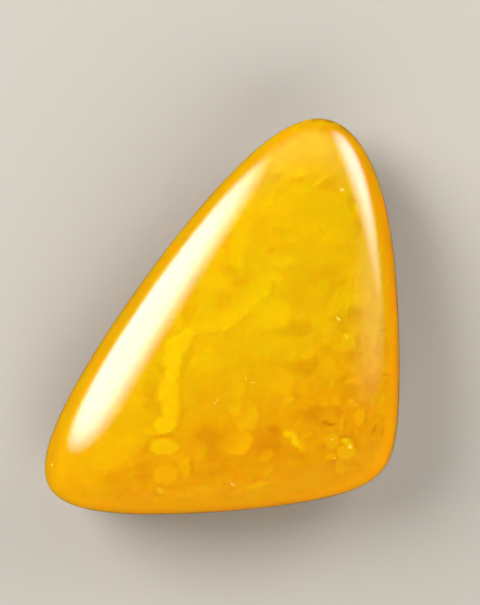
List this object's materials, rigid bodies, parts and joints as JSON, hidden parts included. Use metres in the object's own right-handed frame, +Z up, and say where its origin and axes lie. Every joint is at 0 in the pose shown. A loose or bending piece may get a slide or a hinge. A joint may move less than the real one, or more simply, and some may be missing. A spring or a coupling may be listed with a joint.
{
  "type": "polished amber cabochon",
  "caption": "Polished free-form cabochon of cloudy yellow amber: a rounded triangle with a domed face and a flat back to lie on.",
  "frame": {"origin": "middle of the outline's box, on the surface that the flat back lies on", "axes": "+Z up out of the domed face; +Y towards the blunt tip; +X to the right, seen from above, on the short-corner side"},
  "size_m": [0.0356, 0.0398, 0.0108],
  "materials": {
    "amber": "high polish, cloudy yellow fossil resin with a clear honey-coloured skin"
  },
  "bodies": {
    "root": {"amber": "amber"}
  },
  "joints": []
}
